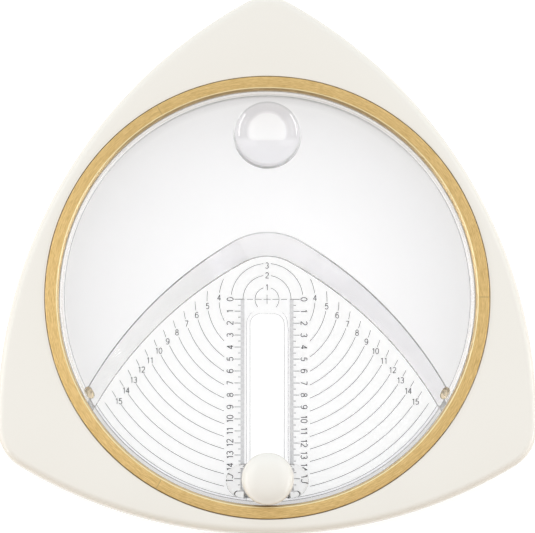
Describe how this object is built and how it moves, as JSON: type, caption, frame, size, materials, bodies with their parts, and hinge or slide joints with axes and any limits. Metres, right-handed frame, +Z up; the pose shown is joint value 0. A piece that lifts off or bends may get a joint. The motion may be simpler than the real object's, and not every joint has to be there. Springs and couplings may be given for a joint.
{
  "type": "circle cutter",
  "caption": "Desktop circle cutter for paper: a clear disc with a printed radius scale turns in a three-cornered frame, and a sliding saddle carries a push knob with a blade.",
  "frame": {"origin": "on the table, under the middle of the frame's bounding box; the disc's axis is 14.06 mm in front of it", "axes": "+Z up; +Y towards the frame's single rear corner, so that the slot and the knob at rest face -Y; +X to the right of someone at the knob's side"},
  "size_m": [0.2234, 0.224, 0.0265],
  "materials": {
    "cream_abs": "cream moulded plastic with a soft satin gloss",
    "gold_ring": "gold, brushed round the ring",
    "clear_polystyrene": "clear polished moulding",
    "screw_steel": "bright zinc-plated steel",
    "black_rubber": "matt black rubber",
    "white_acetal": "white moulded plastic"
  },
  "bodies": {
    "frame": {"frame_shell": "cream_abs", "frame_base": "cream_abs", "gold_ring": "gold_ring", "rubber_pad_1": "black_rubber", "rubber_pad_2": "black_rubber", "rubber_pad_3": "black_rubber", "base_screw_1": "screw_steel", "base_screw_2": "screw_steel", "base_screw_3": "screw_steel", "base_screw_4": "screw_steel", "base_screw_5": "screw_steel", "base_screw_6": "screw_steel", "base_screw_7": "screw_steel", "base_screw_8": "screw_steel", "base_screw_9": "screw_steel"},
    "turntable": {"turntable_disc": "clear_polystyrene"},
    "carriage": {"saddle": "clear_polystyrene", "shoe": "white_acetal", "shoe_screw_1": "screw_steel", "shoe_screw_2": "screw_steel", "click_spring": "screw_steel", "return_spring": "screw_steel"},
    "press_knob": {"knob": "cream_abs", "plunger": "white_acetal", "blade": "screw_steel", "blade_screw": "screw_steel"}
  },
  "joints": [
    {"name": "turntable_spin", "type": "hinge", "parent": "frame", "child": "turntable", "pos_m": [0, -0.01406, 0], "axis": [0, 0, 1], "continuous": true},
    {"name": "carriage_slide", "type": "slide", "parent": "turntable", "child": "carriage", "axis": [0, 1, 0], "range_m": [0, 0.0629]},
    {"name": "knob_press", "type": "slide", "parent": "carriage", "child": "press_knob", "axis": [0, 0, -1], "range_m": [0, 0.003], "stiffness_N_per_m": 600, "springref_m": -0.002, "deforming": ["return_spring"]}
  ]
}
